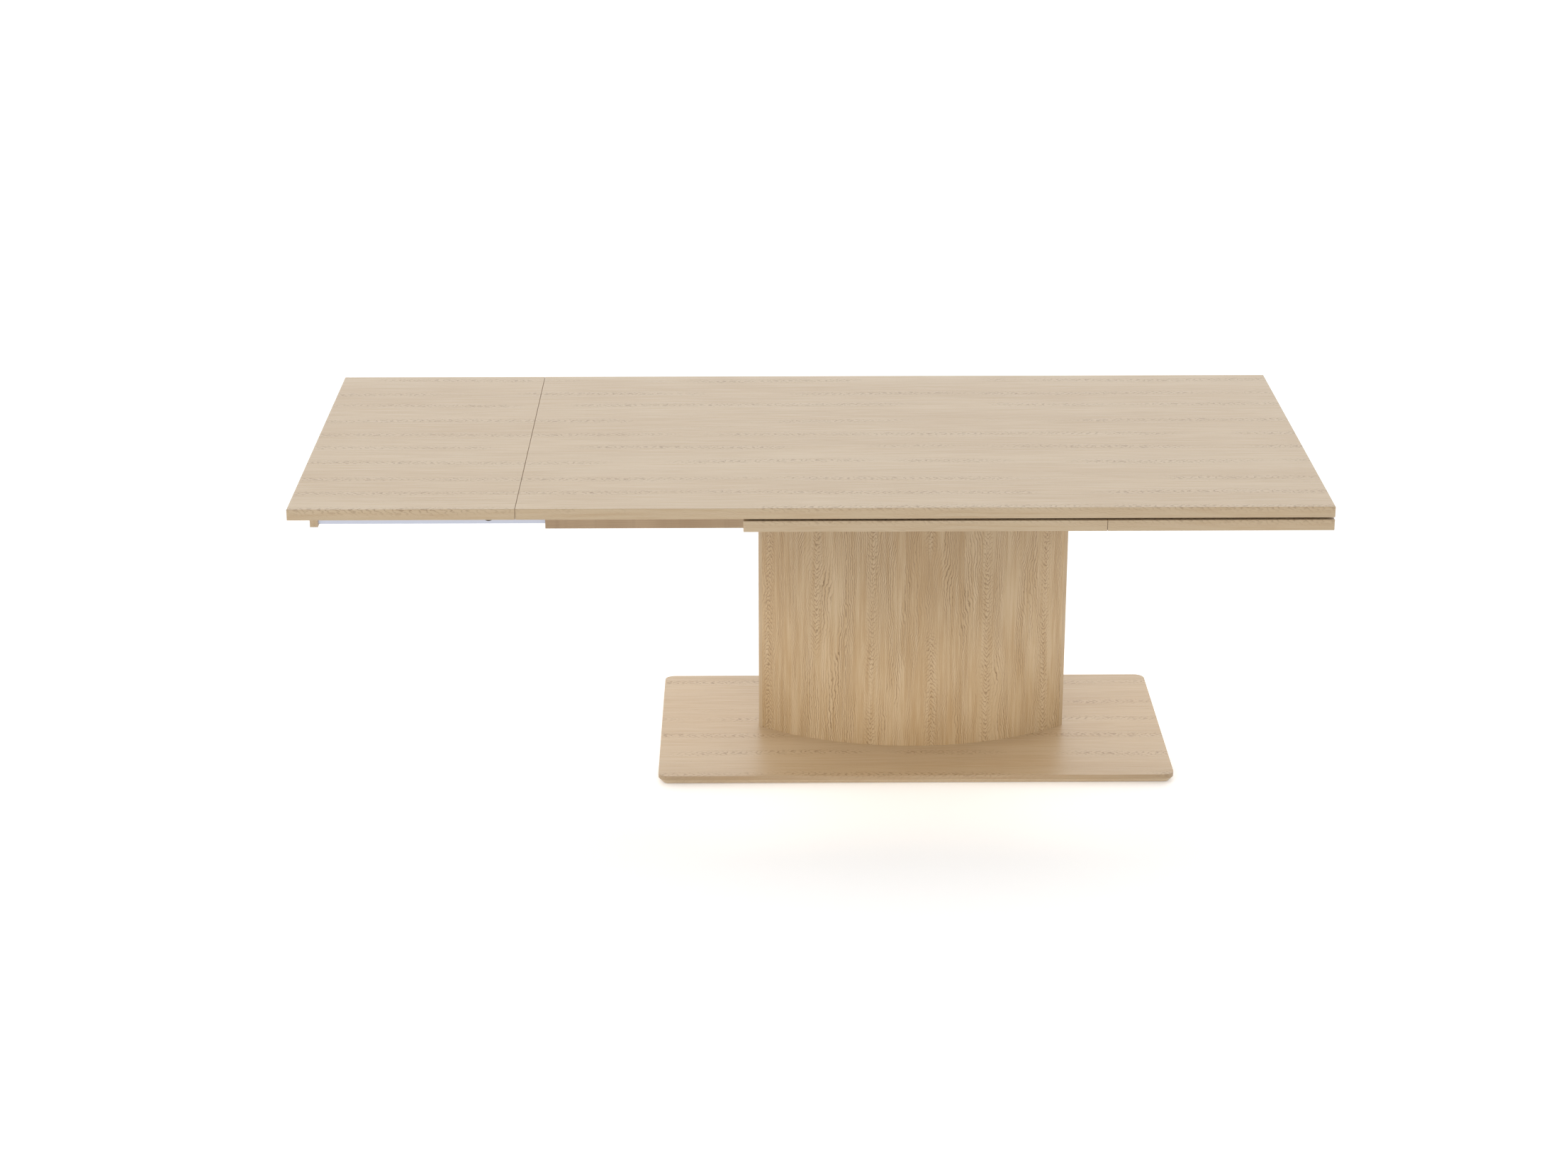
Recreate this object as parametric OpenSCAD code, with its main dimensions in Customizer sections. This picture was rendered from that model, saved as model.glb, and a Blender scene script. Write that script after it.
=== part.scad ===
// Extendable dining table on a lens-shaped pedestal. Millimetres, +Z up, floor at Z = 0.
// The origin is on the floor under the middle of the pedestal, +X along the table, -Y the front.
// One leaf (at -X) is drawn out and raised flush; the other (at +X) is stored under the top.

/* [Table top] */
// Length of the top with both leaves stored
top_length = 1800; // [1400:10:2400]
// Width of the top
top_width = 1000; // [800:10:1200]
// Height of the top surface above the floor
table_height = 754; // [700:1:790]
// Thickness of the main top
top_thickness = 25; // [18:1:35]
// Small bevel worked on every edge of the boards
arris = 0.8; // [0.3:0.1:2]

/* [Leaves] */
// How far one raised leaf lengthens the table
leaf_length = 500; // [350:10:600]
// Thickness of the leaves and of the centre panel between them
leaf_thickness = 25; // [18:1:35]
// Dark gap between the main top and the layer below it
shadow_gap = 5; // [3:0.5:12]
// Open seam between a leaf and the board it meets
seam = 0.8; // [0.4:0.1:3]
// Radius of the dowels that line a leaf up with the top
dowel_radius = 4; // [3:0.5:6]
// How far the dowels stand out of the leaf
dowel_out = 7; // [4:0.5:12]
// Free space around a dowel in its socket
dowel_clearance = 0.5; // [0.3:0.1:1]
// Distance of the outer dowels from the middle of the leaf
dowel_offset = 350; // [200:10:380]

/* [Base plate] */
// Length of the base plate
base_length = 1206; // [900:2:1500]
// Width of the base plate
base_width = 610; // [450:2:800]
// Height of the base plate's upper face above the floor
base_height = 24; // [18:1:40]
// Upright part of the base plate's edge
base_edge = 10.6; // [6:0.2:20]
// How far the edge is undercut below its upright part
base_undercut = 10; // [4:0.5:20]
// Corner radius of the base plate
base_corner = 23; // [15:1:80]
// Thickness of the felt glides
glide_thickness = 2; // [1:0.5:6]
// Radius of the felt glides
glide_radius = 18; // [10:1:30]

/* [Pedestal] */
// Length of the pedestal
pedestal_length = 735; // [550:5:900]
// Depth of the pedestal at its middle
pedestal_depth = 270; // [200:5:360]
// Width of the flat edge at each end of the pedestal
pedestal_edge = 26; // [20:1:60]
// Thickness of the curved panels
shell_thickness = 18; // [12:1:30]
// Thickness of the solid strip at each end
edge_strip = 8; // [4:1:20]
// Thickness of the foot plate inside the pedestal
foot_plate_thickness = 18; // [12:1:30]
// Thickness of the head plate inside the pedestal
head_plate_thickness = 25; // [18:1:40]
// Distance of the ribs inside the pedestal from its middle
rib_offset = 150; // [80:5:220]
// Thickness of the ribs
rib_thickness = 18; // [12:1:30]
// Radius of the tie rods
rod_radius = 5; // [4:0.5:8]
// Distance of the middle pair of tie rods from the centre line
rod_offset = 65; // [40:5:80]

/* [Under-frame] */
// Distance of the outer bearers from the middle, with a tie rod through each
bearer_offset = 300; // [200:5:320]
// Thickness of the bearers
bearer_thickness = 45; // [30:1:60]
// Depth of the bearers at the pedestal
bearer_depth = 45; // [30:1:70]
// Depth of the bearers at their ends
bearer_tip = 9; // [8:1:30]
// How far the bearers stop short of the side rails' outer faces
bearer_short = 4; // [0:0.5:12]
// Half length of the level part of the bearers
bearer_level = 240; // [150:5:300]
// How far the side rails stop short of the end of the top
frame_setback = 55; // [30:5:120]
// Distance of the side rails' outer faces from the centre line
frame_half_width = 361; // [300:1:420]
// Depth of the side rails and runners
frame_depth = 40; // [34:1:60]
// Thickness of the side rails
side_rail_thickness = 18; // [14:1:25]
// Free space between the leaf brackets and the side rails
slot_space = 1.9; // [0.6:0.1:10]
// Thickness of the inner runners
runner_thickness = 20; // [16:1:30]
// How far the rails are lowered where the leaves pass over them
frame_relief = 4; // [3:0.5:8]
// Thickness of the end rails between the runners
end_rail_thickness = 20; // [14:1:30]
// Free space between the end rails and the stored cross shaft
end_rail_space = 30; // [20:1:60]
// Distance of the outer panel screws from the end of the centre panel
panel_screw_inset = 40; // [20:1:80]
// Distance of the top screws from the ends of the centre panel
top_screw_end = 100; // [40:5:150]
// Distance of the outer top screws from the long edges
top_screw_edge = 80; // [40:5:120]
// How far the top screws reach into the main top
top_screw_grip = 15; // [10:1:16]
// How far the spacer panel stands back from the edges
spacer_setback = 20; // [8:1:60]

/* [Slides] */
// Distance of a stored sliding rail's inner end from the middle of the table
rail_gap = 18; // [14:1:60]
// Width of the sliding rail's body
rail_body = 8.8; // [8:0.1:14]
// How far the rail's middle web stands out between the channel lips
rail_nose = 3.2; // [2.5:0.1:6]
// Sheet thickness of the guide channel
channel_sheet = 2; // [1.5:0.1:3]
// Thickness of the channel's lower flange, which the rail rides over
flange_low = 1.5; // [1:0.1:2.5]
// How far the channel's lips stand back from the rail's outer face
lip_setback = 0.8; // [0.4:0.1:1.5]
// Height of the guide channel
channel_height = 32; // [28:1:45]
// Height of the channel's lips above its flanges
channel_lip = 3.5; // [2:0.5:6]
// Running space between the rail and the channel
slide_clearance = 0.5; // [0.3:0.05:1]
// Running space between the end shoe and the channel
shoe_clearance = 0.3; // [0.3:0.05:0.6]
// Length of the shoe on the rail's inner end
shoe_length = 6; // [4:1:9]
// How far the channel runs on past the stored shoe
channel_over = 4; // [2:0.5:4]
// How far the channel stops short of the stored batten
channel_short = 6; // [3:0.5:20]
// Radius of the stop pin that limits the travel
stop_radius = 3; // [2:0.5:4]
// Free space at each end of the stop pin's groove
stop_clearance = 0.4; // [0.3:0.1:1]
// Depth of the stop pin's groove in the rail
groove_depth = 3.5; // [2:0.1:4.5]
// Height of the groove's middle above the rail's lower face
groove_height = 8; // [7:0.5:9]
// Length of rail left inside the stop pin at full travel
stop_hold = 18; // [12:1:60]
// Distance of the batten's outer face from the raised leaf's outer edge
batten_setback = 25; // [15:1:60]
// Thickness of the batten
batten_thickness = 18; // [14:1:25]
// Free space between the batten's ends and the side rails
batten_clearance = 1; // [0.5:0.1:3]
// How far the batten hangs below the under-frame
batten_drop = 2; // [0:0.5:10]
// Space between a lowered leaf and the batten it comes down on
rest_gap = 0.4; // [0.3:0.1:1]

/* [Lift arms] */
// Distance between the two pivots of an arm
arm_reach = 36; // [32:0.5:44]
// Lean of the raised arms past upright, against their stop
arm_lean = 5; // [3:0.5:10]
// Thickness of the arms
arm_thickness = 3; // [2:0.5:5]
// Radius of the inner arms' lower end
arm_foot = 12; // [8:0.5:16]
// Radius of the arms' upper end
arm_head = 9; // [7:0.5:12]
// Radius of the pivot pins
pin_radius = 3; // [2.5:0.5:4]
// Running clearance of the pins and of the cross shaft
pin_clearance = 0.06; // [0.02:0.01:0.1]
// Sideways space between arms, brackets and rails
side_clearance = 0.5; // [0.3:0.1:1]
// Distance of the inner arms' lower pivot from the end of the top, drawn out
inner_pivot_out = 74; // [50:2:120]
// Free space between the folded arms and the batten
fold_space = 4; // [2:0.5:20]
// Distance of the cross shaft's arms from the inner runners
crank_inset = 53.5; // [40:0.5:120]
// Half width of the cross shaft's arms
crank_half = 8; // [6:0.5:10]
// Radius of the cross shaft
shaft_radius = 6; // [5:0.5:7]
// Distance of the upper pivots below the leaf
pivot_drop = 12.1; // [11.6:0.1:15]
// Least distance of the lower pivots below a lowered leaf
pivot_depth = 17.9; // [17:0.1:24]
// Height of the raised arms' stop above the lower pivots
stop_height = 11; // [9:0.5:12]
// Space between a raised arm and its stop
stop_gap = 0.35; // [0.3:0.05:1]
// Sheet thickness of the shaft lugs
lug_sheet = 3; // [2:0.5:5]
// Width of the lugs' feet on the batten
lug_foot = 24; // [20:1:30]
// Sheet thickness of the leaf brackets
bracket_sheet = 2.5; // [2:0.5:4]
// Thickness of the brackets' flanges under the leaf
flange_sheet = 2; // [1.5:0.1:2.5]
// Half length of a leaf bracket along the leaf
bracket_half = 26; // [20:1:40]
// Width of the leaf brackets' flanges
bracket_width = 30; // [20:1:50]

/* [Fixings] */
// Radius of the wood screws
screw_radius = 2.5; // [2:0.5:4]
// Radius of the screw heads
head_radius = 4.8; // [4:0.2:7]
// Space around a screw in its hole
screw_fit = 0.05; // [0:0.01:0.2]

/* [Hidden] */

$fn = 48;
top_under = table_height - top_thickness;
layer_top = top_under - shadow_gap;
layer_under = layer_top - leaf_thickness;
frame_under = layer_under - frame_depth;
lift = top_thickness + shadow_gap;
arm_low = acos(cos(arm_lean) - lift / arm_reach);
swing = arm_reach * (sin(arm_low) + sin(arm_lean));
stroke = leaf_length + swing;
half_top = top_length / 2;
half_panel = half_top - leaf_length;
frame_end = half_top - frame_setback;
bearer_under = frame_under - bearer_depth;
bearer_reach = frame_half_width - bearer_short;
base_under = glide_thickness;

// pedestal outline: two arcs that meet in a flat edge
ped_half = pedestal_length / 2;
ped_rise = (pedestal_depth - pedestal_edge) / 2;
ped_radius = (ped_half * ped_half + ped_rise * ped_rise) / (2 * ped_rise);
ped_centre = ped_radius - pedestal_depth / 2;

// slot, slide and arms, measured out from the centre line
side_in = frame_half_width - side_rail_thickness;
leg_out = side_in - slot_space;
leg_in = leg_out - bracket_sheet;
arm_out = leg_in - side_clearance;
arm_in = arm_out - arm_thickness;
rail_out = arm_in - side_clearance;
rail_mid = rail_out - rail_nose;
rail_in = rail_mid - rail_body;
web_out = rail_in - slide_clearance;
runner_out = web_out - channel_sheet;
runner_in = runner_out - runner_thickness;
channel_low = frame_under;
channel_top = frame_under + channel_height;
rail_low = channel_low + flange_low + slide_clearance;
rail_top = channel_top - channel_sheet - slide_clearance;
nose_low = channel_low + flange_low + channel_lip + slide_clearance;
nose_top = channel_top - channel_sheet - channel_lip - slide_clearance;
lip_in = rail_mid + slide_clearance;
lip_out = rail_out - lip_setback;
groove_z = rail_low + groove_height;

// places along the table with a carriage stored, measured out from the middle
batten_out = half_top + leaf_length - batten_setback - stroke;
batten_in = batten_out - batten_thickness;
rail_end = rail_gap;
rail_length = batten_in - rail_end;
channel_end = batten_in - channel_short;
channel_start = rail_end - shoe_length - channel_over;
inner_pivot = half_top + inner_pivot_out - stroke;
outer_pivot = batten_in - arm_reach - arm_head - fold_space;
end_rail_out = outer_pivot - shaft_radius - end_rail_space;
stop_at = rail_end + stroke + stop_hold;
head_drop = max(pivot_drop, lift - arm_reach * cos(arm_lean) + pivot_depth);
pivot_z = layer_under - head_drop + lift - arm_reach * cos(arm_lean);
batten_low = frame_under - batten_drop;
batten_top = layer_under - rest_gap;
batten_half = side_in - batten_clearance;
crank_offset = runner_in - crank_inset;
crank_out = crank_offset + arm_thickness;
lug_in = crank_out + side_clearance;
crank_leg_out = crank_offset - side_clearance;
crank_leg_in = crank_leg_out - bracket_sheet;

module board(l, w, t) {
  hull() {
    cube([l, w - 2 * arris, t - 2 * arris], center = true);
    cube([l - 2 * arris, w, t - 2 * arris], center = true);
    cube([l - 2 * arris, w - 2 * arris, t], center = true);
  }
}

module box(x0, x1, y0, y1, z0, z1) {
  translate([x0, y0, z0])
    cube([x1 - x0, y1 - y0, z1 - z0]);
}

// a round bar along Y from y0 to y1
module bar_y(x, z, r, y0, y1) {
  translate([x, y0, z])
    rotate([-90, 0, 0])
      cylinder(r = r, h = y1 - y0);
}

// a round bar along X from x0 to x1
module bar_x(y, z, r, x0, x1) {
  translate([x0, y, z])
    rotate([0, 90, 0])
      cylinder(r = r, h = x1 - x0);
}

// a countersunk screw pointing up, with its flat head face at the origin
module screw(len, grow = 0) {
  cylinder(r = screw_radius + grow, h = len + grow);
  cylinder(r1 = head_radius + grow, r2 = screw_radius + grow, h = 3);
}

module lens(inset, z0, z1) {
  intersection() {
    translate([0, ped_centre, z0])
      cylinder(r = ped_radius - inset, h = z1 - z0, $fn = 180);
    translate([0, -ped_centre, z0])
      cylinder(r = ped_radius - inset, h = z1 - z0, $fn = 180);
    box(-ped_half, ped_half, -pedestal_depth, pedestal_depth, z0, z1);
  }
}

// ---------------------------------------------------------------- base and pedestal

module base_outline(z0, z1, r0, r1) {
  hull()
    for (sx = [-1, 1])
      for (sy = [-1, 1])
        translate([sx * (base_length / 2 - base_corner), sy * (base_width / 2 - base_corner), z0])
          cylinder(r1 = r0, r2 = r1, h = z1 - z0);
}

module rod_places() {
  for (s = [-1, 1]) {
    translate([s * bearer_offset, 0, 0])
      children();
    translate([0, s * rod_offset, 0])
      children();
  }
}

module base_plate() {
  color("tan")
    difference() {
      union() {
        base_outline(base_height - base_edge, base_height, base_corner, base_corner);
        base_outline(base_under, base_height - base_edge, base_corner - base_undercut, base_corner);
      }
      rod_places() {
        translate([0, 0, base_under - 1])
          cylinder(r = rod_radius + 8, h = 10);
        translate([0, 0, base_under])
          cylinder(r = rod_radius + screw_fit, h = base_height);
      }
    }
}

module base_glides() {
  color("dimgray") {
    cylinder(r = glide_radius, h = glide_thickness);
    for (x = [-base_length / 2 + 60, 0, base_length / 2 - 60])
      for (s = [-1, 1])
        translate([x, s * (base_width / 2 - 50), 0])
          cylinder(r = glide_radius, h = glide_thickness);
  }
}

module pedestal_foot_plate() {
  color("burlywood")
    difference() {
      lens(shell_thickness, base_height, base_height + foot_plate_thickness);
      rod_places()
        cylinder(r = rod_radius + screw_fit, h = table_height);
    }
}

module pedestal_head_plate() {
  color("burlywood")
    difference() {
      lens(shell_thickness, bearer_under - head_plate_thickness, bearer_under);
      rod_places()
        cylinder(r = rod_radius + screw_fit, h = table_height);
    }
}

module rib(x) {
  low = base_height + foot_plate_thickness;
  high = bearer_under - head_plate_thickness;
  intersection() {
    lens(shell_thickness, low, high);
    box(x - rib_thickness / 2, x + rib_thickness / 2, -pedestal_depth, pedestal_depth, low, high);
  }
}

module pedestal_left_rib() {
  color("burlywood")
    rib(-rib_offset);
}

module pedestal_right_rib() {
  color("burlywood")
    rib(rib_offset);
}

module panel_shell() {
  reach = ped_half - edge_strip;
  difference() {
    intersection() {
      translate([0, ped_centre, base_height])
        cylinder(r = ped_radius, h = bearer_under - base_height, $fn = 180);
      box(-reach, reach, -pedestal_depth, 0, base_height, bearer_under);
    }
    translate([0, ped_centre, base_height - 1])
      cylinder(r = ped_radius - shell_thickness, h = bearer_under - base_height + 2, $fn = 180);
  }
}

module pedestal_front_panel() {
  color("tan")
    panel_shell();
}

module pedestal_rear_panel() {
  color("tan")
    mirror([0, 1, 0])
      panel_shell();
}

module edge_strip_piece() {
  intersection() {
    lens(0, base_height, bearer_under);
    box(ped_half - edge_strip, ped_half + 1, -50, 50, base_height, bearer_under);
  }
}

module pedestal_left_edge_strip() {
  color("peru")
    mirror([1, 0, 0])
      edge_strip_piece();
}

module pedestal_right_edge_strip() {
  color("peru")
    edge_strip_piece();
}

module tie_rods() {
  color("silver")
    rod_places()
      translate([0, 0, base_under + 2])
        cylinder(r = rod_radius, h = frame_under + 10 - base_under - 2);
}

module nut(z) {
  translate([0, 0, z])
    difference() {
      cylinder(r = rod_radius + 4, h = 7, $fn = 6);
      translate([0, 0, -1])
        cylinder(r = rod_radius + screw_fit, h = 9);
    }
}

module tie_rod_nuts() {
  color("gray")
    rod_places() {
      nut(base_under + 2);
      nut(frame_under);
    }
}

// ---------------------------------------------------------------- under-frame

module bearer_shape() {
  rotate([90, 0, 90])
    translate([0, 0, -bearer_thickness / 2])
      linear_extrude(height = bearer_thickness)
        polygon([
          [-bearer_reach, frame_under - bearer_tip],
          [-bearer_level, bearer_under],
          [bearer_level, bearer_under],
          [bearer_reach, frame_under - bearer_tip],
          [bearer_reach, frame_under],
          [-bearer_reach, frame_under]
        ]);
}

// where screws rise through the bearers into the side rails and the runners
function bearer_face(y) = y > bearer_level
  ? bearer_under + (y - bearer_level) * (bearer_depth - bearer_tip) / (bearer_reach - bearer_level)
  : bearer_under;
side_screw = (side_in + bearer_reach) / 2;
runner_screw = (runner_out + runner_in) / 2;
screw_rows = [side_screw, runner_screw];

module bearer_screws(grow = 0) {
  for (s = [-1, 1])
    for (y = screw_rows)
      translate([0, s * y, bearer_face(y) + 3])
        screw(frame_under + 24 - bearer_face(y), grow);
}

module bearer_screw_mouths() {
  for (s = [-1, 1])
    for (y = screw_rows)
      translate([0, s * y, bearer_face(y) - 10])
        cylinder(r = head_radius + screw_fit, h = 13.01);
}

module bearer(x) {
  difference() {
    translate([x, 0, 0])
      bearer_shape();
    rod_places()
      cylinder(r = rod_radius + screw_fit, h = table_height);
    translate([x, 0, 0]) {
      bearer_screws(screw_fit);
      bearer_screw_mouths();
    }
  }
}

module left_bearer() {
  color("peru")
    bearer(-bearer_offset);
}

module centre_bearer() {
  color("peru")
    bearer(0);
}

module right_bearer() {
  color("peru")
    bearer(bearer_offset);
}

module frame_screws() {
  color("silver")
    for (x = [-bearer_offset, 0, bearer_offset])
      translate([x, 0, 0])
        bearer_screws();
}

// screws that rise through the side rails and runners into the centre panel, clear of the bearers
panel_screw_wish = half_panel - panel_screw_inset;
bearer_clear = bearer_thickness / 2 + head_radius + 2;
panel_screw_x = abs(panel_screw_wish - bearer_offset) < bearer_clear
  ? bearer_offset - bearer_clear
  : panel_screw_wish;

module panel_screw_set(grow = 0) {
  for (x = [-panel_screw_x, -bearer_offset / 2, bearer_offset / 2, panel_screw_x])
    for (s = [-1, 1])
      for (y = [(side_in + frame_half_width) / 2, runner_screw])
        translate([x, s * y, frame_under + 3])
          screw(frame_depth + 9, grow);
}

module panel_screw_mouths() {
  for (x = [-panel_screw_x, -bearer_offset / 2, bearer_offset / 2, panel_screw_x])
    for (s = [-1, 1])
      for (y = [(side_in + frame_half_width) / 2, runner_screw])
        translate([x, s * y, frame_under - 1])
          cylinder(r = head_radius + screw_fit, h = 4.01);
}

module panel_screws() {
  color("silver")
    panel_screw_set();
}

module long_rail(y0, y1, end) {
  difference() {
    box(-end, end, y0, y1, frame_under, layer_under);
    for (s = [-1, 1])
      translate([s * (half_panel + seam / 2 + end / 2), 0, layer_under - frame_relief / 2])
        cube([end, 4 * frame_half_width, frame_relief], center = true);
    for (x = [-bearer_offset, 0, bearer_offset])
      translate([x, 0, 0])
        bearer_screws(screw_fit);
    panel_screw_set(screw_fit);
    panel_screw_mouths();
  }
}

module front_side_rail() {
  color("saddlebrown")
    long_rail(-frame_half_width, -side_in, frame_end);
}

module rear_side_rail() {
  color("saddlebrown")
    long_rail(side_in, frame_half_width, frame_end);
}

module runner(y0, y1) {
  difference() {
    long_rail(y0, y1, channel_end);
    channel_screw_set(screw_fit);
    stop_pin_set(screw_fit);
  }
}

module front_inner_runner() {
  color("peru")
    runner(-runner_out, -runner_in);
}

module rear_inner_runner() {
  color("peru")
    runner(runner_in, runner_out);
}

module end_rail(s) {
  x = s * (end_rail_out - end_rail_thickness / 2);
  translate([x, 0, frame_under + (frame_depth - frame_relief) / 2])
    cube([end_rail_thickness, 2 * runner_in, frame_depth - frame_relief], center = true);
}

module left_end_rail() {
  color("peru")
    end_rail(-1);
}

module right_end_rail() {
  color("peru")
    end_rail(1);
}

// ---------------------------------------------------------------- guide channels

module channel_section() {
  f = flange_low;
  polygon([
    [runner_out, channel_low],
    [lip_out, channel_low],
    [lip_out, channel_low + f + channel_lip],
    [lip_in, channel_low + f + channel_lip],
    [lip_in, channel_low + f],
    [web_out, channel_low + f],
    [web_out, channel_top - channel_sheet],
    [lip_in, channel_top - channel_sheet],
    [lip_in, channel_top - channel_sheet - channel_lip],
    [lip_out, channel_top - channel_sheet - channel_lip],
    [lip_out, channel_top],
    [runner_out, channel_top]
  ]);
}

channel_screw_z = (channel_low + channel_top) / 2;
channel_screw_xs = [channel_start + 60, (channel_start + channel_end) / 2, channel_end - 40];

module channel_screw_set(grow = 0) {
  for (sx = [-1, 1])
    for (sy = [-1, 1])
      for (x = channel_screw_xs)
        translate([sx * x, sy * web_out, channel_screw_z])
          rotate([sy * 90, 0, 0]) {
            cylinder(r = 2 + grow, h = 16 + grow);
            cylinder(r1 = 3.9 + grow, r2 = 2 + grow, h = 1.9);
          }
}

module channel_screws() {
  color("silver")
    channel_screw_set();
}

module stop_pin_set(grow = 0) {
  for (sx = [-1, 1])
    for (sy = [-1, 1])
      translate([sx * stop_at, sy * (rail_in + groove_depth - 0.7), groove_z])
        rotate([sy * 90, 0, 0])
          cylinder(r = stop_radius + grow, h = 18 + grow);
}

module slide_stop_pins() {
  color("dimgray")
    stop_pin_set();
}

module channel(sx, sy) {
  difference() {
    scale([sx, sy, 1])
      translate([channel_start, 0, 0])
        rotate([90, 0, 90])
          linear_extrude(height = channel_end - channel_start)
            channel_section();
    channel_screw_set(screw_fit);
    stop_pin_set(screw_fit);
  }
}

module left_front_guide_channel() {
  color("lightgray")
    channel(-1, -1);
}

module left_rear_guide_channel() {
  color("lightgray")
    channel(-1, 1);
}

module right_front_guide_channel() {
  color("lightgray")
    channel(1, -1);
}

module right_rear_guide_channel() {
  color("lightgray")
    channel(1, 1);
}

// ---------------------------------------------------------------- centre panel and top

dowel_rows = [-dowel_offset, 0, dowel_offset];

// sockets bored into both ends of a board that is 2 * half long
module end_sockets(half, z) {
  r = dowel_radius + dowel_clearance;
  for (s = [-1, 1])
    for (y = dowel_rows)
      bar_x(y, z, r, s > 0 ? half - dowel_out - 2 : -half - 1, s > 0 ? half + 1 : -half + dowel_out + 2);
}

module top_screw_places() {
  dx = half_panel - top_screw_end;
  dy = (top_width / 2 - top_screw_edge) / 3;
  for (x = [-dx, dx])
    for (y = [-3, -1, 1, 3])
      translate([x, y * dy, layer_under + 3])
        children();
}

top_screw_length = leaf_thickness + shadow_gap + top_screw_grip - 3;

module centre_panel() {
  color("tan")
    difference() {
      translate([0, 0, layer_under + leaf_thickness / 2])
        board(2 * half_panel, top_width, leaf_thickness);
      end_sockets(half_panel, layer_under + leaf_thickness / 2);
      panel_screw_set(screw_fit);
      top_screw_places() {
        screw(top_screw_length, screw_fit);
        translate([0, 0, -4])
          cylinder(r = head_radius + screw_fit, h = 4.01);
      }
    }
}

spacer_half = half_panel - spacer_setback;

module shadow_gap_panel() {
  color("black")
    difference() {
      translate([0, 0, (layer_top + top_under) / 2])
        cube([2 * spacer_half, top_width - 2 * spacer_setback, shadow_gap], center = true);
      top_screw_places()
        screw(top_screw_length, screw_fit);
    }
}

module main_top() {
  color("wheat")
    difference() {
      translate([0, 0, top_under + top_thickness / 2])
        board(top_length, top_width, top_thickness);
      end_sockets(half_top, table_height - leaf_thickness / 2);
      top_screw_places()
        screw(top_screw_length, screw_fit);
    }
}

module top_screws() {
  color("silver")
    top_screw_places()
      screw(top_screw_length);
}

// ---------------------------------------------------------------- carriage, stored at +X

module rail_screw_set(sy, grow = 0) {
  for (z = [nose_low + 1.5, nose_top - 3])
    bar_x(sy * (rail_in + rail_body / 2 + 1), z, 1.6 + grow, batten_in - 22 - grow, batten_out - 4);
}

module rail_section() {
  polygon([
    [rail_in, rail_low],
    [rail_mid, rail_low],
    [rail_mid, nose_low],
    [rail_out, nose_low],
    [rail_out, nose_top],
    [rail_mid, nose_top],
    [rail_mid, rail_top],
    [rail_in, rail_top]
  ]);
}

module sliding_rail(sy) {
  g0 = stop_at - stroke - stop_radius - stop_clearance;
  g1 = stop_at + stop_radius + stop_clearance;
  gy = rail_in + groove_depth;
  gz = stop_radius + stop_clearance;
  difference() {
    scale([1, sy, 1])
      translate([rail_end, 0, 0])
        rotate([90, 0, 90])
          linear_extrude(height = rail_length)
            rail_section();
    scale([1, sy, 1])
      box(g0, g1, rail_in - 1, gy, groove_z - gz, groove_z + gz);
    scale([1, sy, 1])
      bar_y(inner_pivot, pivot_z, pin_radius, gy + 1, rail_out + 1);
    rail_screw_set(sy);
  }
}

module batten() {
  difference() {
    box(batten_in, batten_out, -batten_half, batten_half, batten_low, batten_top);
    for (s = [-1, 1]) {
      rail_screw_set(s, screw_fit);
      for (z = [nose_low + 1.5, nose_top - 3])
        bar_x(s * (rail_in + rail_body / 2 + 1), z, 3.6, batten_out - 4, batten_out + 1);
    }
    lug_screw_set(screw_fit);
  }
}

lug_low = pivot_z - 13;
lug_top = pivot_z + 11;
lug_out = lug_in + lug_sheet;

module lug_screw_set(grow = 0) {
  for (s = [-1, 1])
    for (z = [lug_low + 5, lug_top - 5])
      bar_x(s * (lug_in + lug_foot - 10), z, 2 + grow, batten_in - lug_sheet, batten_in + 12 + grow);
}

// angle lug: foot on the batten, leg with the shaft bore, and the raised arms' stop
module lug() {
  sx = outer_pivot - stop_height * tan(arm_lean) - (crank_half + stop_radius + stop_gap) / cos(arm_lean);
  sz = pivot_z + stop_height;
  difference() {
    union() {
      box(batten_in - lug_sheet, batten_in, lug_in, lug_in + lug_foot, lug_low, lug_top);
      box(outer_pivot, batten_in, lug_in, lug_out, lug_low, lug_top);
      hull() {
        bar_y(outer_pivot, pivot_z, 12, lug_in, lug_out);
        bar_y(sx, sz, stop_radius + 1, lug_in, lug_out);
      }
      bar_y(sx, sz, stop_radius, crank_offset + 0.2, lug_out);
    }
    bar_y(outer_pivot, pivot_z, shaft_radius + pin_clearance, lug_in - 1, lug_out + 1);
    lug_screw_set(screw_fit);
  }
}

module shoe_section() {
  c = shoe_clearance;
  polygon([
    [web_out + c, channel_low + flange_low + c],
    [lip_in - c, channel_low + flange_low + c],
    [lip_in - c, channel_top - channel_sheet - c],
    [web_out + c, channel_top - channel_sheet - c]
  ]);
}

module rail_shoes() {
  for (s = [-1, 1])
    scale([1, s, 1])
      translate([rail_end - shoe_length, 0, 0])
        rotate([90, 0, 90])
          linear_extrude(height = shoe_length)
            shoe_section();
}

module carriage_screws() {
  for (s = [-1, 1]) {
    rail_screw_set(s);
    for (z = [nose_low + 1.5, nose_top - 3])
      bar_x(s * (rail_in + rail_body / 2 + 1), z, 3.2, batten_out - 4, batten_out - 1.5);
  }
  lug_screw_set();
  for (s = [-1, 1])
    for (z = [lug_low + 5, lug_top - 5])
      bar_x(s * (lug_in + lug_foot - 10), z, 3.6, batten_in - lug_sheet - 2, batten_in - lug_sheet);
}

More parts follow.
